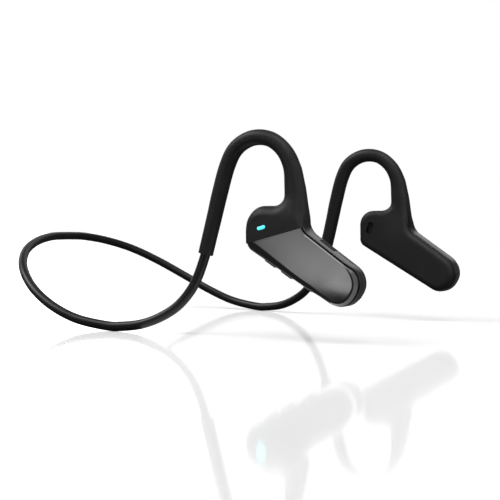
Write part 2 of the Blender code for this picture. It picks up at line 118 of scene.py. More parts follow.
# Where the flat earpiece goes over into the neck: along X, then by height for each thing that changes.
RISE_SPAN = (55.0, 66.0)
NECK_SPAN, OUTER_SPAN, INNER_SPAN = (45.0, 57.0), (44.0, 58.0), (35.0, 57.0)
THINNING, THINNING_SPAN = 1.3, (56.0, 66.0)
RIM_GROWTH, RIM_SPAN = 3.0, (41.0, 50.0)
SQUEEZE, SQUEEZE_SPAN = 0.2, (72.0, 56.0)
INSET_SPAN = (JOIN_HEIGHT - 1.0, JOIN_HEIGHT - 12.0)

# Ear hook and neckband, as in the CAD.
HOOK_ROUTE = (
    (68.9, -51.3, 45.5), (67.95, -51.3, 52.5), (67.3, -51.3, 57.9), (66.1, -51.3, 65.5), (62.6, -51.3, 72.1),
    (56.4, -51.3, 76.7), (48.5, -51.3, 77.4), (41.4, -51.4, 73.9), (37.3, -51.6, 67.1), (33.9, -52.0, 55.8),
    (32.0, -52.3, 48.2), (30.0, -52.6, 40.5), (27.8, -52.8, 32.4), (26.7, -52.9, 28.4),
)
HOOK_RADII = (4.3, 4.2, 4.0, 3.4, 3.1, 3.0, 3.1, 3.2, 3.2, 3.2, 3.1, 3.05, 3.0, 3.0)
SLEEVE_END, SLEEVE_REGION_TOP = (27.8, -52.8, 32.4), 40.0
BAND_ROUTE = (
    (30.0, -52.6, 40.5), (27.8, -52.8, 32.4), (23.7, -53.2, 22.0), (19.2, -53.9, 15.2),
    (13.8, -55.0, 10.0), (6.5, -56.4, 5.9), (-0.8, -57.8, 3.4), (-9.0, -59.1, 2.27),
    (-16.8, -60.2, 2.18), (-32.3, -61.7, 4.6), (-46.9, -61.5, 9.9), (-60.5, -58.5, 17.1),
    (-73.0, -51.2, 25.2), (-82.3, -40.1, 32.0), (-88.4, -26.5, 36.4), (-91.95, -12.5, 38.7),
    (-92.67, 0.0, 39.1),
)
BAND_RADIUS, BAND_STEP, BAND_SIDES = 2.0, 1.1, 32
WIRE_STEP, WIRE_SIDES = 2.0, 12

# The gloss frame: its wall, and the seat under the cover.
SHELL_WALL, LIP_STEP = 1.3, 0.3
SEAT_DEPTH, SEAT_BACK, SEAT_REACH = 55.2, 53.9, 2.6

# Buttons on the lower wall: place along its edge line, length, and how far it stands out of that line.
BUTTON_DEPTH, BUTTON_WIDTH, BUTTON_STEM = 52.6, 3.2, 2.45
KEY_ROUNDING, RIB_PITCH, RIB_HEIGHT = 0.55, 0.72, 0.2
BUTTONS = {
    "volume_up": (10.2, 5.4, 2.2),
    "volume_down": (18.4, 5.4, 2.0),
    "multifunction": (28.6, 4.4, 1.4),
}
BUTTON_GAP, CUT_REACH = 0.2, 3.0
PORT_CLEARANCE = LED_CLEARANCE = 0.3
PORT_ALONG, PORT_DEPTH, PORT_LENGTH, PORT_WIDTH = 10.1, 51.6, 6.9, 3.8
LED_ANGLE, LED_LENGTH, LED_WIDTH = math.radians(15.4), 3.5, 1.25
SLOT_ANGLE, SLOT_LENGTH, SLOT_WIDTH = math.radians(68.0), 5.6, 2.7
SLOT_DEPTHS, LED_WINDOW_DEPTHS = (44, 48), (54, 60)

# The matte skins: their grid and how often it is smoothed, the boxes they are found in, and their walls.
GRID, SMOOTHINGS = 0.4, 4
HOOK_BOX = (22.5, -58.2, 26.0), (78.0, -45.0, 82.0)
HOUSING_BOX = (46.5, -51.2, 4.0), (97.0, -45.0, 58.0)
HOOK_WALL, HOUSING_WALL = 0.9, 0.8


# ---------------------------------------------------------------- node materials


class Look:
    """A Principled material whose varying inputs come from object-space textures."""

    def __init__(self, name, colour, roughness, metallic=0.0, specular=0.5):
        self.material = bpy.data.materials.new(name)
        self.material.use_nodes = True
        self.nodes = self.material.node_tree.nodes
        self.links = self.material.node_tree.links
        self.shader = self.nodes["Principled BSDF"]
        self.colour = colour
        self.set("Roughness", roughness)
        self.set("Metallic", metallic)
        self.set("Specular IOR Level", specular)
        self.set("Base Color", (*colour, 1.0))
        self.place = self.nodes.new("ShaderNodeTexCoord").outputs["Object"]

    def set(self, socket, value):
        self.shader.inputs[socket].default_value = value
        return self

    def noise(self, scale, detail=3.0):
        node = self.nodes.new("ShaderNodeTexNoise")
        node.inputs["Scale"].default_value = scale
        node.inputs["Detail"].default_value = detail
        self.links.new(self.place, node.inputs["Vector"])
        return node.outputs["Fac"]

    def spread(self, source, low, high):
        """A number that runs from low to high over the middle of the source's range."""
        node = self.nodes.new("ShaderNodeMapRange")
        for socket, value in zip(("From Min", "From Max", "To Min", "To Max"), (0.3, 0.7, low, high)):
            node.inputs[socket].default_value = value
        self.links.new(source, node.inputs["Value"])
        return node.outputs["Result"]

    def vary_roughness(self, source, low, high):
        self.links.new(self.spread(source, low, high), self.shader.inputs["Roughness"])
        return self

    def vary_colour(self, source, other, start=0.3, end=0.7):
        ramp = self.nodes.new("ShaderNodeValToRGB")
        for element, place, colour in zip(ramp.color_ramp.elements, (start, end), (self.colour, other)):
            element.position = place
            element.color = (*colour, 1.0)
        self.links.new(source, ramp.inputs["Fac"])
        self.links.new(ramp.outputs["Color"], self.shader.inputs["Base Color"])
        return self

    def bump(self, source, height, strength=1.0):
        """Relief of the given height in millimetres."""
        node = self.nodes.new("ShaderNodeBump")
        node.inputs["Distance"].default_value = height * MM
        node.inputs["Strength"].default_value = strength
        self.links.new(source, node.inputs["Height"])
        self.links.new(node.outputs["Normal"], self.shader.inputs["Normal"])
        return self


def silicone():
    look = Look("silicone", (0.0085, 0.0085, 0.009), 0.42, specular=0.17)
    look.vary_colour(look.noise(160.0, 4.0), (0.0105, 0.0105, 0.011))
    look.vary_roughness(look.noise(420.0), 0.43, 0.5)
    return look.bump(look.noise(5200.0, 2.0), 0.006, 0.3).material


def band_skin():
    """The neckband's silicone, which is smoother than the hooks'."""
    look = Look("band_skin", (0.007, 0.007, 0.0075), 0.33, specular=0.2)
    look.vary_colour(look.noise(160.0, 4.0), (0.0095, 0.0095, 0.01))
    look.vary_roughness(look.noise(420.0), 0.31, 0.37)
    return look.bump(look.noise(5200.0, 2.0), 0.005, 0.25).material


def soft_touch():
    look = Look("soft_touch", (0.0085, 0.0085, 0.009), 0.48, specular=0.18)
    look.vary_colour(look.noise(120.0, 4.0), (0.0105, 0.0105, 0.011))
    look.vary_roughness(look.noise(300.0), 0.44, 0.52)
    return look.bump(look.noise(7000.0, 2.0), 0.010, 0.4).material


def gloss_black():
    look = Look("gloss_black", (0.0035, 0.0035, 0.004), 0.12, specular=0.75)
    look.vary_colour(look.noise(60.0), (0.005, 0.005, 0.0055))
    return look.vary_roughness(look.noise(90.0, 4.0), 0.10, 0.15).material


def gloss_frame_look():
    look = Look("gloss_frame", (0.006, 0.006, 0.0065), 0.24, specular=0.7)
    look.vary_colour(look.noise(60.0), (0.008, 0.008, 0.0085))
    return look.vary_roughness(look.noise(120.0, 4.0), 0.2, 0.28).material


def button_rubber():
    look = Look("button_rubber", (0.006, 0.006, 0.006), 0.6, specular=0.14)
    look.vary_colour(look.noise(400.0), (0.011, 0.011, 0.011))
    return look.bump(look.noise(6000.0, 2.0), 0.012, 0.4).material


def light_guide():
    """Frosted diffuser that glows, its brightness varying a little at random."""
    look = Look("light_guide", (0.10, 0.75, 0.85), 0.35)
    look.set("Emission Color", (0.085, 0.72, 0.80, 1.0))
    glow = look.spread(look.noise(500.0, 2.0), 0.72, 0.88)
    look.links.new(glow, look.shader.inputs["Emission Strength"])
    return look.vary_roughness(look.noise(900.0), 0.3, 0.45).material


def brushed(name, colour, roughness, other, scale):
    look = Look(name, colour, roughness, metallic=1.0)
    look.vary_colour(look.noise(scale), other)
    return look.vary_roughness(look.noise(scale * 2.5), roughness - 0.06, roughness + 0.08).material


def mesh_steel():
    """Fine woven acoustic mesh: two crossing sets of wires, from wave textures. Its near-black colour is
    painted shade, standing in for the shade inside the recessed sound slot.
    """
    # Near-black base and wire colours: painted shade of the recessed sound slot.
    look = Look("mesh_steel", (0.008, 0.008, 0.009), 0.5, metallic=0.5, specular=0.2)
    waves = []
    for direction in ("X", "Z"):
        wave = look.nodes.new("ShaderNodeTexWave")
        wave.bands_direction = direction
        wave.inputs["Scale"].default_value = 900.0
        look.links.new(look.place, wave.inputs["Vector"])
        waves.append(wave.outputs["Fac"])
    cross = look.nodes.new("ShaderNodeMath")
    cross.operation = "MAXIMUM"
    for wave, socket in zip(waves, cross.inputs):
        look.links.new(wave, socket)
    look.vary_colour(cross.outputs["Value"], (0.004, 0.004, 0.004), 0.75, 0.35)
    return look.bump(cross.outputs["Value"], 0.08).material


def circuit_board():
    look = Look("circuit_board", (0.010, 0.085, 0.035), 0.35)
    tracks = look.nodes.new("ShaderNodeTexVoronoi")
    tracks.distance = "MANHATTAN"
    tracks.inputs["Scale"].default_value = 700.0
    look.links.new(look.place, tracks.inputs["Vector"])
    look.vary_colour(tracks.outputs["Distance"], (0.02, 0.15, 0.06), 0.2, 0.5)
    return look.bump(tracks.outputs["Distance"], 0.03).material


def plain_grain(name, colour, other, roughness, scale):
    look = Look(name, colour, roughness, specular=0.4)
    look.vary_colour(look.noise(scale), other)
    return look.vary_roughness(look.noise(scale * 2), roughness - 0.05, roughness + 0.08).material


LOOKS = {
    "silicone": silicone(),
    "band_skin": band_skin(),
    "soft_touch": soft_touch(),
    "gloss_black": gloss_black(),
    "gloss_frame": gloss_frame_look(),
    "button_rubber": button_rubber(),
    "light_guide": light_guide(),
    "mesh_steel": mesh_steel(),
    "circuit_board": circuit_board(),
    "steel": brushed("steel", (0.52, 0.52, 0.54), 0.3, (0.6, 0.6, 0.62), 500.0),
    "titanium_wire": brushed("titanium_wire", (0.40, 0.39, 0.38), 0.34, (0.5, 0.49, 0.47), 700.0),
    "magnet": brushed("magnet", (0.34, 0.34, 0.36), 0.25, (0.42, 0.42, 0.44), 300.0),
    "cable_copper": brushed("cable_copper", (0.70, 0.33, 0.17), 0.3, (0.78, 0.42, 0.24), 900.0),
    "foil": brushed("foil", (0.60, 0.61, 0.64), 0.36, (0.7, 0.71, 0.73), 250.0),
    "chip": plain_grain("chip", (0.015, 0.015, 0.017), (0.025, 0.025, 0.027), 0.45, 800.0),
    "seal": plain_grain("seal", (0.035, 0.035, 0.038), (0.05, 0.05, 0.055), 0.7, 600.0),
}


def dress_frame():
    """Gives each CAD node the look of its material slot in the record."""
    for part in frame["record"]["subparts"]:
        slots = frame["nodes"][part["node"]].data.materials
        slots.clear()
        slots.append(LOOKS[part["material_slot"]])


# ---------------------------------------------------------------- meshes


def add_piece(name, points, faces, look, sharp=35):
    """A piece from points in millimetres."""
    mesh = bpy.data.meshes.new(name)
    mesh.from_pydata((np.asarray(points, float) * MM).tolist(), [], [list(f) for f in faces])
    mesh.validate()
    mesh.materials.append(LOOKS[look])
    obj = bpy.data.objects.new(name, mesh)
    bpy.context.scene.collection.objects.link(obj)
    outward(obj)
    return shade(obj, sharp)


def outward(obj):
    solid = bmesh.new()
    solid.from_mesh(obj.data)
    bmesh.ops.recalc_face_normals(solid, faces=solid.faces)
    solid.to_mesh(obj.data)
    solid.free()


def shade(obj, sharp=35):
    obj.data.shade_smooth()
    obj.data.set_sharp_from_angle(angle=math.radians(sharp))
    return obj


def apply_modifiers(obj):
    bpy.context.view_layer.update()
    evaluated = obj.evaluated_get(bpy.context.evaluated_depsgraph_get())
    mesh = bpy.data.meshes.new_from_object(evaluated)
    obj.modifiers.clear()
    obj.data = mesh
    return obj


def carve(obj, cutters):
    """Cuts the cutters out of a piece and removes them."""
    for cutter in cutters:
        modifier = obj.modifiers.new(cutter.name, "BOOLEAN")
        modifier.operation = "DIFFERENCE"
        modifier.object = cutter
    apply_modifiers(obj)
    for cutter in cutters:
        bpy.data.objects.remove(cutter)
    return shade(obj)


def mirrored(obj, name):
    """The same piece on the left."""
    mesh = obj.data.copy()
    mesh.transform(Matrix.Scale(-1, 4, (0, 1, 0)))
    mesh.flip_normals()
    twin = bpy.data.objects.new(name, mesh)
    bpy.context.scene.collection.objects.link(twin)
    return twin


def join_rings(rings):
    """The points of rings of equal length, and the faces between them and over both end rings."""
    size, last = len(rings[0]), (len(rings) - 1) * len(rings[0])
    points = [point for loop in rings for point in loop]
    faces = []
    for low in range(0, last, size):
        for side in range(size):
            after = (side + 1) % size
            faces.append((low + side, low + after, low + size + after, low + size + side))
    faces.append(tuple(range(size))[::-1])
    faces.append(tuple(range(last, last + size)))
    return points, faces


def bisect(solid, faces, point, normal, clear_outer=False):
    """Splits these faces of a bmesh along a plane given in millimetres."""
    edges = {e for f in faces for e in f.edges}
    corners = {v for f in faces for v in f.verts}
    bmesh.ops.bisect_plane(
        solid,
        geom=[*corners, *edges, *faces],
        plane_co=Vector(point) * MM,
        plane_no=Vector(normal),
        clear_outer=clear_outer,
    )


# ---------------------------------------------------------------- outlines


def rounded(corners, step=math.radians(4)):
    """The points of a closed outline whose corners (x, z, radius) are rounded by arcs."""
    points = []
    for index, (x, z, radius) in enumerate(corners):
        here = Vector((x, z))
        back = (Vector(corners[index - 1][:2]) - here).normalized()
        ahead = (Vector(corners[(index + 1) % len(corners)][:2]) - here).normalized()
        if radius <= 0:
            points.append(here)
            continue
        half = back.angle(ahead) / 2
        centre = here + (back + ahead).normalized() * radius / math.sin(half)
        first = here + back * radius / math.tan(half) - centre
        turn = math.pi - 2 * half
        side = 1 if back.x * ahead.y - back.y * ahead.x < 0 else -1
        count = max(2, round(turn / step))
        for number in range(count + 1):
            points.append(centre + Matrix.Rotation(side * turn * number / count, 2) @ first)
    return points


def inset(corners, distance):
    """The corners of an anticlockwise outline moved inwards, with radii that keep the wall even."""
    moved = []
    for index, (x, z, radius) in enumerate(corners):
        here = Vector((x, z))
        back = (here - Vector(corners[index - 1][:2])).normalized()
        ahead = (Vector(corners[(index + 1) % len(corners)][:2]) - here).normalized()
        bend = back.x * ahead.y - back.y * ahead.x
        inward = Vector((-back.y, back.x)) + Vector((-ahead.y, ahead.x))
        here += inward * distance / (1 + back.dot(ahead))
        moved.append((*here, max(radius - math.copysign(distance, bend), 0.4) if radius else 0))
    return moved


def pill(length, width):
    half, radius = length / 2, width / 2
    box = [(half, radius), (-half, radius), (-half, -radius), (half, -radius)]
    return rounded([(x, z, radius * 0.98) for x, z in box], math.radians(15))


def turned_to(points, centre, angle):
    return [Vector(centre) + Matrix.Rotation(angle, 2) @ p for p in points]


def smooth_route(points, step):
    """Points about a step apart along a Catmull-Rom curve through the given ones."""
    points = [Vector(p) for p in points]
    line = [points[0] * 2 - points[1]] + points + [points[-1] * 2 - points[-2]]
    route = []
    for a, b, c, d in zip(line, line[1:], line[2:], line[3:]):
        count = max(1, round((c - b).length / step))
        for number in range(count):
            t = number / count
            bend, twist = 2 * a - 5 * b + 4 * c - d, 3 * b - a - 3 * c + d
            route.append(0.5 * (2 * b + (c - a) * t + bend * t * t + twist * t**3))
    return route + [points[-1]]


def ramp(value, low, high):
    """0 below low, 1 above high and smooth between."""
    share = np.clip((value - low) / (high - low), 0.0, 1.0)
    return share * share * (3 - 2 * share)


# ---------------------------------------------------------------- matte body: hook, lobe and inner housing


def outline_distance(x, z, outline):
    """Distance to a closed outline, negative inside it."""
    nearest = np.full(np.broadcast(x, z).shape, np.inf)
    outside = np.ones(nearest.shape, bool)
    for (ax, az), (bx, bz) in zip(outline, outline[1:] + outline[:1]):
        ex, ez = bx - ax, bz - az
        wx, wz = x - ax, z - az
        share = np.clip((wx * ex + wz * ez) / (ex * ex + ez * ez), 0, 1)
        nearest = np.minimum(nearest, (wx - ex * share) ** 2 + (wz - ez * share) ** 2)
        above, below, left = z >= az, z < bz, ex * wz > ez * wx
        crossed = (above & below & left) | (~above & ~below & ~left)
        outside ^= crossed
    return np.where(outside, 1.0, -1.0) * np.sqrt(nearest)


def hook_tables(x, z):
    """Per point of the XZ plane: distance to the hook's centre line, and its radius and depth there."""
    step = 1.2
    route = [(*point, radius) for point, radius in zip(smooth_route(HOOK_ROUTE, step), hook_radii(step))]
    shape = np.broadcast(x, z).shape
    nearest, radius, depth = np.full(shape, np.inf), np.zeros(shape), np.zeros(shape)
    for (ax, ay, az, ar), (bx, by, bz, br) in zip(route, route[1:]):
        ex, ez = bx - ax, bz - az
        wx, wz = x - ax, z - az
        share = np.clip((wx * ex + wz * ez) / (ex * ex + ez * ez), 0, 1)
        away = np.hypot(wx - ex * share, wz - ez * share)
        closer = away < nearest
        nearest = np.where(closer, away, nearest)
        radius = np.where(closer, ar + (br - ar) * share, radius)
        depth = np.where(closer, -(ay + (by - ay) * share), depth)
    return nearest, radius, depth


def hook_radii(step):
    """The hook's radius at each point that smooth_route gives for its route."""
    values = []
    for here, ahead, first, second in zip(HOOK_ROUTE, HOOK_ROUTE[1:], HOOK_RADII, HOOK_RADII[1:]):
        count = max(1, round((Vector(ahead) - Vector(here)).length / step))
        values += [first + (second - first) * number / count for number in range(count)]
    return values + [HOOK_RADII[-1]]


class MatteBody:
    """A field that is negative inside the hook and the flat body that it grows out of."""

    fine = 0.15

    def __init__(self):
        neck = [(68.7, 66.5, 2.0), (63.6, 66.5, 2.0), (NECK_LEFT + 0.1, 57.4, 12.0)]
        self.xs = np.arange(22.0, 100.0, self.fine)
        self.zs = np.arange(3.0, 84.0, self.fine)
        x, z = self.xs[:, None], self.zs[None, :]
        outline = [tuple(p) for p in rounded(neck + list(POD[2:]) + [(71.6, 57.4, 30.0)], math.radians(3))]
        self.edge = outline_distance(x, z, outline)
        self.away, self.radius, self.depth = hook_tables(x, z)

    def look_up(self, table, x, z):
        """The table's value between its points, by bilinear interpolation."""
        u = np.clip((x - self.xs[0]) / self.fine, 0, len(self.xs) - 1.001)
        v = np.clip((z - self.zs[0]) / self.fine, 0, len(self.zs) - 1.001)
        u, v = np.broadcast_arrays(u, v)
        i, j = u.astype(int), v.astype(int)
        s, t = u - i, v - j
        low = table[i, j] * (1 - t) + table[i, j + 1] * t
        high = table[i + 1, j] * (1 - t) + table[i + 1, j + 1] * t
        return low * (1 - s) + high * s

    def __call__(self, x, y, z, inner_inset=0.0):
        depth = -y
        edge = self.look_up(self.edge, x, z)
        right = ramp(x, *RISE_SPAN)
        neck = ramp(z, *NECK_SPAN) * right
        outer = OUTER_FACE + (NECK_OUTER - OUTER_FACE) * ramp(z, *OUTER_SPAN) * right
        slope = ramp(z, *INNER_SPAN) * right
        inner = INNER_FACE + (NECK_INNER - INNER_FACE) * slope
        centre = (outer + inner) / 2
        half = (outer - inner) / 2 - THINNING * ramp(z, *THINNING_SPAN)
        outward = depth > centre
        lobe_rim = LOBE_RIM + RIM_GROWTH * ramp(z, *RIM_SPAN)
        rim = np.where(outward, lobe_rim, INNER_RIM)
        rim_depth = np.where(outward, lobe_rim * 0.8, INNER_RIM_DEPTH)
        rim = rim + (NECK_HALF_WIDTH - rim) * neck
        rim_depth = rim_depth + (half - rim_depth) * neck
        edge = edge + inner_inset * ramp(z, *INSET_SPAN)
        across = np.maximum((edge + rim) / rim, 0)
        through = np.maximum((np.abs(depth - centre) - half + rim_depth) / rim_depth, 0)
        power = 2.0 + 0.35 * neck
        flat = ((across**power + through**power) ** (1 / power) - 1) * np.minimum(rim, rim_depth)
        away = self.look_up(self.away, x, z)
        radius = self.look_up(self.radius, x, z)
        squeeze = 1 - SQUEEZE * ramp(z, *SQUEEZE_SPAN) * right
        round_hook = np.hypot(away, (depth - self.look_up(self.depth, x, z)) / squeeze) - radius
        blend = 1.0
        overlap = np.maximum(blend - np.abs(flat - round_hook), 0) / blend
        return np.minimum(flat, round_hook) - overlap * overlap * blend / 4


def surface(field, low, high):
    """Points and faces of a field's zero level: one point in each grid cell that it crosses."""
    x, y, z = (np.arange(a, b + GRID, GRID) for a, b in zip(low, high))
    inside = field(x[:, None, None], y[None, :, None], z[None, None, :]) < 0
    wide, deep, tall = (count - 1 for count in inside.shape)
    cells = [inside[i : i + wide, j : j + deep, k : k + tall] for i, j, k in np.ndindex(2, 2, 2)]
    some = np.logical_or.reduce(cells) & ~np.logical_and.reduce(cells)
    number = np.full(some.shape, -1)
    number[some] = np.arange(some.sum())
    i, j, k = np.nonzero(some)
    points = np.stack([x[i], y[j], z[k]], axis=1) + GRID / 2
    quads = []
    for axis in range(3):
        order = (axis, (axis + 1) % 3, (axis + 2) % 3)
        corner, cell = np.transpose(inside, order), np.transpose(number, order)
        first, second = corner[:-1, 1:-1, 1:-1], corner[1:, 1:-1, 1:-1]
        a, b, c = np.nonzero(first != second)
        quad = np.stack([cell[a, b, c], cell[a, b + 1, c], cell[a, b + 1, c + 1], cell[a, b, c + 1]], axis=1)
        out = ~first[a, b, c]
        quad[out] = quad[out][:, ::-1]
        quads.append(quad)
    quads = np.concatenate(quads)
    for _ in range(SMOOTHINGS):
        points = settle(field, relax(points, quads))
    return settle(field, settle(field, points)), quads


def relax(points, quads):
    """Moves each point halfway to the mean of its neighbours."""
    total, count = np.zeros_like(points), np.zeros(len(points))
    for side in range(4):
        near = quads[:, (side + 1) % 4]
        np.add.at(total, quads[:, side], points[near])
        np.add.at(count, quads[:, side], 1)
    return points + (total / np.maximum(count, 1)[:, None] - points) * 0.5


def settle(field, points):
    """Moves points along the field's gradient onto its zero level."""
    small = 0.05
    here = field(*points.T)
    rises = [field(*(points + small * side).T) - field(*(points - small * side).T) for side in np.eye(3)]
    slope = np.stack(rises, axis=1) / (2 * small)
    steepness = np.maximum((slope**2).sum(axis=1), 0.05)
    step = np.clip(-here / steepness, -GRID, GRID)
    return points + slope * step[:, None]


def remove_faces(solid, test):
    """Deletes the faces whose centre, in millimetres, meets the test."""
    gone = [f for f in solid.faces if test(f.calc_center_median() / MM)]
    bmesh.ops.delete(solid, geom=gone, context="FACES")


def near_faces(solid, test):
    return [f for f in solid.faces if test(f.calc_center_median() / MM)]


def seam_side(point):
    """Distance above the seam between the lobe and the gloss cover, in millimetres."""
    right, up = point.x - SEAM_POINT[0], point.z - SEAM_POINT[1]
    return up * math.cos(SEAM_ANGLE) - right * math.sin(SEAM_ANGLE)


def in_pod(point):
    return point.x > LOBE_START and point.z < JOIN_HEIGHT


def near_sleeve(point):
    return point.x < LOBE_START and point.z < SLEEVE_REGION_TOP


def pill_cutter(name, centre, length, width, angle, low, high):
    """A pill-shaped cutter across the earpiece, between two depths."""
    outline = turned_to(pill(length, width), (centre.x, centre.z), angle)
    rings = [[(p.x, -depth, p.y) for p in outline] for depth in (low, high)]
    return add_piece(name, *join_rings(rings), "silicone")


def thicken(obj, wall):
    """Turns an open surface into a wall, inwards."""
    solidify = obj.modifiers.new("Wall", "SOLIDIFY")
    solidify.thickness = wall * MM
    solidify.offset = -1
    solidify.use_rim = True
    return shade(apply_modifiers(obj))


def open_mesh(name, points, quads, look):
    mesh = bpy.data.meshes.new(name)
    mesh.from_pydata((points * MM).tolist(), [], quads.tolist())
    mesh.materials.append(LOOKS[look])
    obj = bpy.data.objects.new(name, mesh)
    bpy.context.scene.collection.objects.link(obj)
    return obj


def hook_and_lobe(body):
    """The silicone skin: the hook, cut square at its sleeve end, and the lobe down to its two seams."""
    obj = open_mesh("right_hook_and_lobe", *surface(body, *HOOK_BOX), "silicone")
    solid = bmesh.new()
    solid.from_mesh(obj.data)
    route = smooth_route(HOOK_ROUTE, 1.0)
    end = Vector(SLEEVE_END)
    nearest = min(range(1, len(route) - 1), key=lambda i: (route[i] - end).length)
    onward = (route[nearest + 1] - route[nearest - 1]).normalized()
    bisect(solid, near_faces(solid, near_sleeve), end, onward)
    remove_faces(solid, lambda p: near_sleeve(p) and (p - end).dot(onward) > 0)
    bisect(solid, near_faces(solid, lambda p: p.x > LOBE_START), (0, 0, JOIN_HEIGHT), (0, 0, 1))
    split = PARTING + HAIRLINE
    bisect(solid, near_faces(solid, in_pod), (0, -split, 0), (0, 1, 0))
    bisect(solid, near_faces(solid, in_pod), (SEAM_POINT[0], 0, SEAM_POINT[1]), SEAM_NORMAL)
    remove_faces(solid, lambda p: in_pod(p) and (-p.y < split or seam_side(p) < 0))
    solid.to_mesh(obj.data)
    solid.free()
    return thicken(obj, HOOK_WALL)


def inner_housing(body):
    """The skin side of the housing, with its slanted sound slot."""

    def field(x, y, z):
        return body(x, y, z, INNER_INSET)

    obj = open_mesh("right_inner_housing", *surface(field, *HOUSING_BOX), "soft_touch")
    solid = bmesh.new()
    solid.from_mesh(obj.data)
    bisect(solid, solid.faces[:], (0, -PARTING + HAIRLINE, 0), (0, -1, 0), clear_outer=True)
    bisect(solid, solid.faces[:], (0, 0, JOIN_HEIGHT - HAIRLINE / 2), (0, 0, 1), clear_outer=True)
    solid.to_mesh(obj.data)
    solid.free()
    centre = middle("right_sound_mesh")
    slot = pill_cutter("sound_slot", centre, SLOT_LENGTH, SLOT_WIDTH, SLOT_ANGLE, *SLOT_DEPTHS)
    return carve(thicken(obj, HOUSING_WALL), [slot])


# ---------------------------------------------------------------- gloss frame and cover


def around(left_value, low_value, tip_value, top_value):
    """A number for each outline point, from those of the lower edge's two ends, the tip and the top edge."""
    values = []
    for x, z in BASE_OUTLINE:
        middle_line = 0.5 * (
            LOWER_EDGE_START[1] + (x - LOWER_EDGE_START[0]) * math.tan(LOWER_EDGE_ANGLE)
            + TOP_EDGE_START[1] + (x - TOP_EDGE_START[0]) * math.tan(TOP_EDGE_ANGLE)
        )
        upper = float(ramp(z - middle_line, -1.5, 1.5))
        tip = float(ramp(x - 0.75 * (z - middle_line), 83.5, 89.5))
        lower = left_value + (low_value - left_value) * float(ramp(x, 50.0, 74.0))
        edge = lower + (top_value - lower) * upper
        values.append(edge + (tip_value - edge) * tip)
    return values


def divided(outline, counts):
    """The outline with each side split into its count of equal parts."""
    result = []
    for start, end, count in zip(outline, outline[1:] + outline[:1], counts):
        result += [start.lerp(end, number / count) for number in range(count)]
    return result


CORNERS = rounded(list(POD))
SPLITS = [max(1, round((b - a).length / 1.5)) for a, b in zip(CORNERS, CORNERS[1:] + CORNERS[:1])]
BASE_OUTLINE = divided(CORNERS, SPLITS)
INSET_STEP = 4.0
INSET_OUTLINE = divided(rounded(inset(list(POD), INSET_STEP)), SPLITS)

# The gloss cover, the groove round it and the frame's lip, from the outline inwards and the face down.
COVER_INSETS = around(0.9, 0.8, 0.3, 0.75)
GROOVE_DEPTHS = around(1.2, 1.0, 2.9, 0.9)
LIP_WIDTHS = around(1.2, 1.2, 1.2, 0.35)
BEVELS = around(0.3, 0.14, 0.95, 0.34)
BEVEL_DROPS = around(0.4, 0.38, 1.5, 0.42)
SHOULDERS = around(2.9, 1.6, 0.8, 0.5)
SHOULDER_DROPS = around(0.65, 0.26, 0.14, 0.0)
LIP_ROUNDINGS = around(0.8, 0.6, 0.12, 0.22)
SHOULDER_POWER = 1.7


def ring(distances, depths):
    """The outline moved in by a distance at each point, at a depth at each point."""
    count = len(BASE_OUTLINE)
    distances = [distances] * count if isinstance(distances, (int, float)) else distances
    depths = [depths] * count if isinstance(depths, (int, float)) else depths
    result = []
    for near, far, distance, depth in zip(BASE_OUTLINE, INSET_OUTLINE, distances, depths):
        place = near.lerp(far, distance / INSET_STEP)
        result.append((place.x, -depth, place.y))
    return result


def cut_at_seam(obj):
    """Keeps what lies below the seam, and closes the cut."""
    solid = bmesh.new()
    solid.from_mesh(obj.data)
    place = Vector((SEAM_POINT[0], 0, SEAM_POINT[1])) - Vector(SEAM_NORMAL) * SEAM_GAP
    bisect(solid, solid.faces[:], place, SEAM_NORMAL, clear_outer=True)
    bmesh.ops.holes_fill(solid, edges=[e for e in solid.edges if e.is_boundary], sides=0)
    bmesh.ops.recalc_face_normals(solid, faces=solid.faces)
    solid.to_mesh(obj.data)
    solid.free()
    return shade(obj, 30)


def gloss_cover():
    """Piano-black cover: a flat face, a soft shoulder, a bright bevel and a skirt down into the groove."""
    rings = []
    for share in (1.0, 0.8, 0.62, 0.46, 0.32, 0.2, 0.1, 0.0):
        distances = [i + b + s * share for i, b, s in zip(COVER_INSETS, BEVELS, SHOULDERS)]
        depths = [COVER_FACE - d * (1 - share) ** SHOULDER_POWER for d in SHOULDER_DROPS]
        rings.append(ring(distances, depths))
    for share in (0.08, 0.5, 1.0):
        distances = [i + b * (1 - share) for i, b in zip(COVER_INSETS, BEVELS)]
        depths = [COVER_FACE - s - d * share for s, d in zip(SHOULDER_DROPS, BEVEL_DROPS)]
        rings.append(ring(distances, depths))
    for inward, up in ((0.0, 0.12), (0.06, 0.0), (0.8, 0.0), (0.9, 0.3)):
        depths = [COVER_FACE - g + up for g in GROOVE_DEPTHS]
        rings.append(ring([i + inward for i in COVER_INSETS], depths))
    return cut_at_seam(add_piece("right_gloss_shield", *join_rings(rings), "gloss_black"))


def gloss_frame():
    """The outer shell: a lip round the cover, a rounded wall, a seat under the cover and a hollow behind."""
    lips = [COVER_FACE - g - LIP_STEP for g in GROOVE_DEPTHS]
    low = PARTING + HAIRLINE
    seat = [min(lip, SEAT_DEPTH) for lip in lips]
    rings = [ring(SEAT_REACH, seat), ring([w + 0.1 for w in LIP_WIDTHS], seat), ring(LIP_WIDTHS, lips)]
    for angle in range(90, -1, -15):
        sine, cosine = math.sin(math.radians(angle)), math.cos(math.radians(angle))
        inwards = [r * (1 - cosine) for r in LIP_ROUNDINGS]
        rings.append(ring(inwards, [lip - r * (1 - sine) for lip, r in zip(lips, LIP_ROUNDINGS)]))
    rings += [
        ring(0.0, [lip * 0.5 + low * 0.5 for lip in lips]),
        ring(0.0, low + 0.4),
        ring(0.10, low + 0.12),
        ring(0.22, low),
        ring(SHELL_WALL, low),
        ring(SHELL_WALL, SEAT_BACK),
        ring(SEAT_REACH, SEAT_BACK),
    ]
    return cut_at_seam(add_piece("right_gloss_frame", *join_rings(rings), "gloss_frame"))


# ---------------------------------------------------------------- walls, blocks and swept pieces


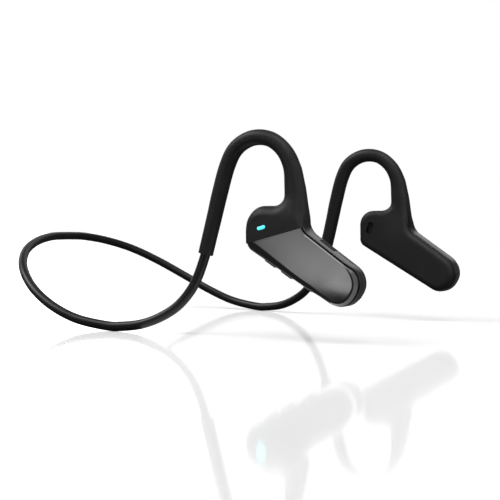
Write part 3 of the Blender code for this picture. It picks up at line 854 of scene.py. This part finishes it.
def wall_frame(edge_start, edge_angle, along, depth, below):
    """A frame on a wall of the housing: X along the edge, Z out of the wall, in millimetres."""
    direction = Vector((math.cos(edge_angle), math.sin(edge_angle)))
    origin = Vector(edge_start) + direction * along
    turn = Matrix.Rotation(-edge_angle, 4, "Y")
    if below:
        turn = turn @ Matrix.Rotation(math.pi, 4, "X")
    return Matrix.Translation((origin.x, -depth, origin.y)) @ turn


def stack(name, place, outlines, look, sharp=35):
    """A piece from (outline, height) layers in a frame's XY plane, closed at both ends."""
    rings = [[place @ Vector((*p, height)) for p in outline] for outline, height in outlines]
    return add_piece(name, *join_rings(rings), look, sharp)


def block_outline(length, width, radius, inward=0.0):
    half, side = length / 2 - inward, width / 2 - inward
    corner = max(radius - inward, 0.08)
    box = [(half, side), (-half, side), (-half, -side), (half, -side)]
    return rounded([(x, y, corner) for x, y in box], math.radians(15))


def cutter_block(name, place, length, width, low, high, radius=0.5):
    outline = block_outline(length, width, radius)
    return stack(name, place, [(outline, low), (outline, high)], "gloss_frame")


def ribbed_button(label, along, length, proud):
    """A rubber key with fine ribs across it and softly rounded ends and edges."""
    place = wall_frame(LOWER_EDGE_START, LOWER_EDGE_ANGLE, along, BUTTON_DEPTH, below=True)
    edge, ribs = KEY_ROUNDING, round(length / RIB_PITCH)
    bottom = -BUTTON_STEM + 0.2
    stations = ribs * 8
    rings = []
    for number in range(stations + 1):
        share = number / stations
        x = (share - 0.5) * length
        end = min(share, 1 - share) * length
        droop = edge - math.sqrt(max(edge**2 - max(edge - end, 0) ** 2, 0))
        rib = 0.5 - 0.5 * math.cos(2 * math.pi * ribs * share)
        top = proud - droop - RIB_HEIGHT * (1 - rib) * float(ramp(end, 0.0, edge))
        half = BUTTON_WIDTH / 2 - droop * 0.6
        arc = [math.radians(a) for a in range(0, 91, 15)]
        right = [(half - edge + edge * math.cos(a), top - edge + edge * math.sin(a)) for a in arc]
        left = [(-y, z) for y, z in reversed(right)]
        loop = [(half, bottom)] + right + left + [(-half, bottom)]
        rings.append([place @ Vector((x, y, z)) for y, z in loop])
    return add_piece(f"{label}_key", *join_rings(rings), "button_rubber", 60)


def port_flap():
    """The charging port's cover: a soft plate, slightly crowned, with a nail notch at its free end."""
    place = wall_frame(TOP_EDGE_START, TOP_EDGE_ANGLE, PORT_ALONG, PORT_DEPTH, below=False)
    layers = [(0.0, -0.85), (0.0, -0.2), (0.05, -0.08), (0.16, 0.0), (0.5, 0.04), (1.1, 0.06)]
    outlines = [(block_outline(PORT_LENGTH, PORT_WIDTH, 0.6, inward), height) for inward, height in layers]
    obj = stack("charging_flap", place, outlines, "button_rubber", 60)
    free_end = place @ Matrix.Translation((PORT_LENGTH / 2 - 0.1, 0, 0))
    return carve(obj, [cutter_block("notch", free_end, 0.7, 1.6, -0.3, 0.5, 0.3)])


def led_lens():
    """A domed, frosted pill."""
    centre = middle("led_lens")
    base, top = -highest("led_lens").y, OUTER_FACE + 0.02
    layers = ((0.0, base), (0.0, top - 0.12), (0.08, top - 0.02), (0.25, top + 0.06), (0.5, top + 0.1))
    rings = []
    for inward, depth in layers:
        outline = pill(LED_LENGTH - 2 * inward, LED_WIDTH - 2 * inward)
        placed = turned_to(outline, (centre.x, centre.z), LED_ANGLE)
        rings.append([(p.x, -depth, p.y) for p in placed])
    return add_piece("status_light", *join_rings(rings), "light_guide", 60)


def sweep(route, radius, sides):
    """A round tube along a route, with its section carried along without twisting."""
    sideways = Vector((0, 0, 1))
    rings = []
    for index, point in enumerate(route):
        ahead = (route[min(index + 1, len(route) - 1)] - route[max(index - 1, 0)]).normalized()
        sideways = (sideways - ahead * sideways.dot(ahead)).normalized()
        third = ahead.cross(sideways)
        angles = [2 * math.pi * number / sides for number in range(sides)]
        rings.append([point + (sideways * math.cos(a) + third * math.sin(a)) * radius for a in angles])
    return join_rings(rings)


def whole_band(half_points):
    """A route from the right end round the nape to the left end."""
    other = [Vector((p.x, -p.y, p.z)) for p in reversed(half_points[:-1])]
    return half_points + other


def neckband():
    route = whole_band(smooth_route(BAND_ROUTE, BAND_STEP))
    return add_piece("neckband", *sweep(route, BAND_RADIUS, BAND_SIDES), "band_skin")


def inner_run(name, offset, radius, look):
    """A wire through hooks and neckband, beside their common centre line."""
    half = smooth_route(list(HOOK_ROUTE[1:-2]) + list(BAND_ROUTE[1:]), WIRE_STEP)
    sideways = Vector((0, 1, 0))
    moved = []
    for index, point in enumerate(half):
        ahead = half[min(index + 1, len(half) - 1)] - half[max(index - 1, 0)]
        sideways = (sideways - ahead * sideways.dot(ahead) / ahead.length_squared).normalized()
        moved.append(point + sideways * offset)
    route = whole_band(moved)
    return add_piece(name, *sweep(route, radius, WIRE_SIDES), look)


# ---------------------------------------------------------------- assembly


def fit(obj, body, slot, *nodes):
    """Lets a piece ride on its body and stand for its CAD nodes; the slot is not used."""
    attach(obj, body)
    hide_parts(*nodes)
    return obj


def pair(obj, slot, labels, right_cutters=()):
    """Fits a right piece, with the cuts that only it has, and the uncut piece's mirror image on the left."""
    left = mirrored(obj, obj.name.replace("right_", "left_"))
    if right_cutters:
        carve(obj, right_cutters)
    fit(obj, "right_side", slot, *("right_" + label for label in labels))
    fit(left, "left_side", slot, *("left_" + label for label in labels))


def shell_cutters():
    """The button slots and the port window."""
    gap = 2 * BUTTON_GAP
    cutters = []
    for label, (along, length, _) in BUTTONS.items():
        place = wall_frame(LOWER_EDGE_START, LOWER_EDGE_ANGLE, along, BUTTON_DEPTH, below=True)
        size = (length + gap, BUTTON_WIDTH + gap)
        cutters.append(cutter_block(label + "_slot", place, *size, -CUT_REACH, CUT_REACH))
    place = wall_frame(TOP_EDGE_START, TOP_EDGE_ANGLE, PORT_ALONG, PORT_DEPTH, below=False)
    size = (PORT_LENGTH + PORT_CLEARANCE, PORT_WIDTH + PORT_CLEARANCE)
    cutters.append(cutter_block("port_window", place, *size, -CUT_REACH, CUT_REACH, 0.7))
    return cutters


def build_earpieces():
    body = MatteBody()
    size = (LED_LENGTH + LED_CLEARANCE, LED_WIDTH + LED_CLEARANCE)
    window = pill_cutter("window", middle("led_lens"), *size, LED_ANGLE, *LED_WINDOW_DEPTHS)
    pair(hook_and_lobe(body), "silicone", ("ear_hook", "lobe_cover"), [window])
    pair(inner_housing(body), "soft_touch", ("inner_shell",))
    pair(gloss_cover(), "gloss_black", ("gloss_cover",))
    pair(gloss_frame(), "gloss_black", ("outer_shell",), shell_cutters())


def build_controls():
    for label, sizes in BUTTONS.items():
        fit(ribbed_button(label, *sizes), label, "button_rubber", label + "_button")
    fit(port_flap(), "port_flap", "button_rubber", "port_cover")
    fit(led_lens(), "right_side", "light_guide", "led_lens")


def build_band():
    """The neckband and the wires that run in it, round the nape."""
    runs = [
        (neckband(), "silicone", "neckband_jacket"),
        (inner_run("spring_wire", 0.65, 0.4, "titanium_wire"), "titanium_wire", "spring_wire"),
        (inner_run("signal_cable", -0.6, 0.45, "cable_copper"), "cable_copper", "signal_cable"),
    ]
    for obj, slot, label in runs:
        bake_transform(obj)
        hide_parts("right_" + label, "left_" + label)


# ---------------------------------------------------------------- studio


def sum_of(tree, values):
    total = values[0]
    for value in values[1:]:
        add = tree.nodes.new("ShaderNodeMath")
        add.operation = "ADD"
        tree.links.new(total, add.inputs[0])
        tree.links.new(value, add.inputs[1])
        total = add.outputs[0]
    return total


def glow(tree, direction, strength, inner, outer):
    """A soft round light in the world, full within the inner angle and gone at the outer one."""
    place = tree.nodes.new("ShaderNodeTexCoord")
    dot = tree.nodes.new("ShaderNodeVectorMath")
    dot.operation = "DOT_PRODUCT"
    tree.links.new(place.outputs["Generated"], dot.inputs[0])
    dot.inputs[1].default_value = Vector(direction).normalized()
    fade = tree.nodes.new("ShaderNodeMapRange")
    fade.interpolation_type = "SMOOTHSTEP"
    fade.inputs["From Min"].default_value = math.cos(math.radians(outer))
    fade.inputs["From Max"].default_value = math.cos(math.radians(inner))
    fade.inputs["To Min"].default_value = 0.0
    fade.inputs["To Max"].default_value = strength
    tree.links.new(dot.outputs["Value"], fade.inputs["Value"])
    return fade.outputs["Result"]


# Soft lights: direction, strength, full within and gone beyond these angles.
GLOWS = (
    ((-0.62, -0.35, 0.70), 8.5, 3, 24),
    ((0.15, -0.32, 0.94), 8.0, 2, 20),
    ((-0.16, 0.82, 0.53), 0.8, 6, 25),
    ((-0.80, 0.50, 0.35), 1.3, 5, 28),
    ((0.45, 0.06, 0.89), 2.0, 10, 26),
    ((0.50, -0.81, 0.31), 1.5, 5, 35),
)


def make_world():
    world = bpy.data.worlds.new("studio")
    bpy.context.scene.world = world
    world.use_nodes = True
    tree = world.node_tree
    background = tree.nodes["Background"]
    background.inputs["Color"].default_value = (1, 1, 1, 1)
    base = tree.nodes.new("ShaderNodeValue")
    base.outputs[0].default_value = 0.14
    light = sum_of(tree, [base.outputs[0]] + [glow(tree, *values) for values in GLOWS])
    tree.links.new(light, background.inputs["Strength"])
    white = tree.nodes.new("ShaderNodeBackground")
    white.inputs["Color"].default_value = (1, 1, 1, 1)
    white.inputs["Strength"].default_value = 1.0
    path = tree.nodes.new("ShaderNodeLightPath")
    mix = tree.nodes.new("ShaderNodeMixShader")
    tree.links.new(path.outputs["Is Camera Ray"], mix.inputs["Fac"])
    tree.links.new(background.outputs["Background"], mix.inputs[1])
    tree.links.new(white.outputs["Background"], mix.inputs[2])
    tree.links.new(mix.outputs["Shader"], tree.nodes["World Output"].inputs["Surface"])


def make_floor():
    """A pale floor that is bright to the camera, takes soft shadows and gives a faint reflection."""
    bpy.ops.mesh.primitive_plane_add(size=30, location=(0, 0, 0))
    floor = bpy.context.object
    floor.name = "floor"
    material = bpy.data.materials.new("floor")
    material.use_nodes = True
    tree = material.node_tree
    tree.nodes.remove(tree.nodes["Principled BSDF"])
    diffuse = tree.nodes.new("ShaderNodeBsdfDiffuse")
    diffuse.inputs["Color"].default_value = (0.35, 0.35, 0.35, 1)
    glossy = tree.nodes.new("ShaderNodeBsdfGlossy")
    glossy.inputs["Roughness"].default_value = 0.08
    glossy.inputs["Color"].default_value = (2.0, 2.0, 2.0, 1)
    emission = tree.nodes.new("ShaderNodeEmission")
    emission.inputs["Strength"].default_value = 0.22
    path = tree.nodes.new("ShaderNodeLightPath")
    both = tree.nodes.new("ShaderNodeAddShader")
    tree.links.new(diffuse.outputs[0], both.inputs[0])
    tree.links.new(emission.outputs[0], both.inputs[1])
    everything = tree.nodes.new("ShaderNodeAddShader")
    tree.links.new(both.outputs[0], everything.inputs[0])
    tree.links.new(glossy.outputs[0], everything.inputs[1])
    dark = tree.nodes.new("ShaderNodeBsdfDiffuse")
    dark.inputs["Color"].default_value = (0.08, 0.08, 0.08, 1)
    seen = tree.nodes.new("ShaderNodeMixShader")
    tree.links.new(path.outputs["Is Camera Ray"], seen.inputs["Fac"])
    tree.links.new(dark.outputs[0], seen.inputs[1])
    tree.links.new(everything.outputs[0], seen.inputs[2])
    tree.links.new(seen.outputs[0], tree.nodes["Material Output"].inputs["Surface"])
    floor.data.materials.append(material)


def make_panel(name, place, aim, width, height, watts, spread):
    """A soft light panel that the camera doesn't see; aim is the direction that it shines in."""
    data = bpy.data.lights.new(name, "AREA")
    data.shape = "RECTANGLE"
    data.size, data.size_y = width, height
    data.energy = watts
    data.spread = math.radians(spread)
    light = bpy.data.objects.new(name, data)
    bpy.context.scene.collection.objects.link(light)
    light.location = place
    light.rotation_euler = Vector(aim).to_track_quat("-Z", "Y").to_euler()
    light.visible_camera = False


def make_camera():
    data = bpy.data.cameras.new("camera")
    data.sensor_width = 36.0
    data.lens = 68.627
    data.clip_start, data.clip_end = 0.01, 50.0
    camera = bpy.data.objects.new("camera", data)
    bpy.context.scene.collection.objects.link(camera)
    camera.location = (0.239433, -0.367369, 0.041576)
    camera.rotation_euler = (math.radians(90 - 1.152), 0, math.radians(31.265))
    bpy.context.scene.camera = camera


def make_studio():
    bpy.context.scene.view_settings.view_transform = "Standard"
    make_world()
    make_floor()
    make_panel("front_panel", (0.0225, -0.2737, 0.085), (0.40, 0.90, 0.12), 0.19, 0.17, 0.0103, 25)
    make_panel("tip_panel", (0.295, -0.050, 0.151), (-1.0, 0.0, 0.0), 0.24, 0.30, 0.27, 180)
    make_panel("low_panel", (0.145, -0.056, 0.0006), (0.0, 0.0, 1.0), 0.29, 0.038, 0.0486, 180)
    make_camera()


dress_frame()
build_earpieces()
build_controls()
build_band()
make_studio()
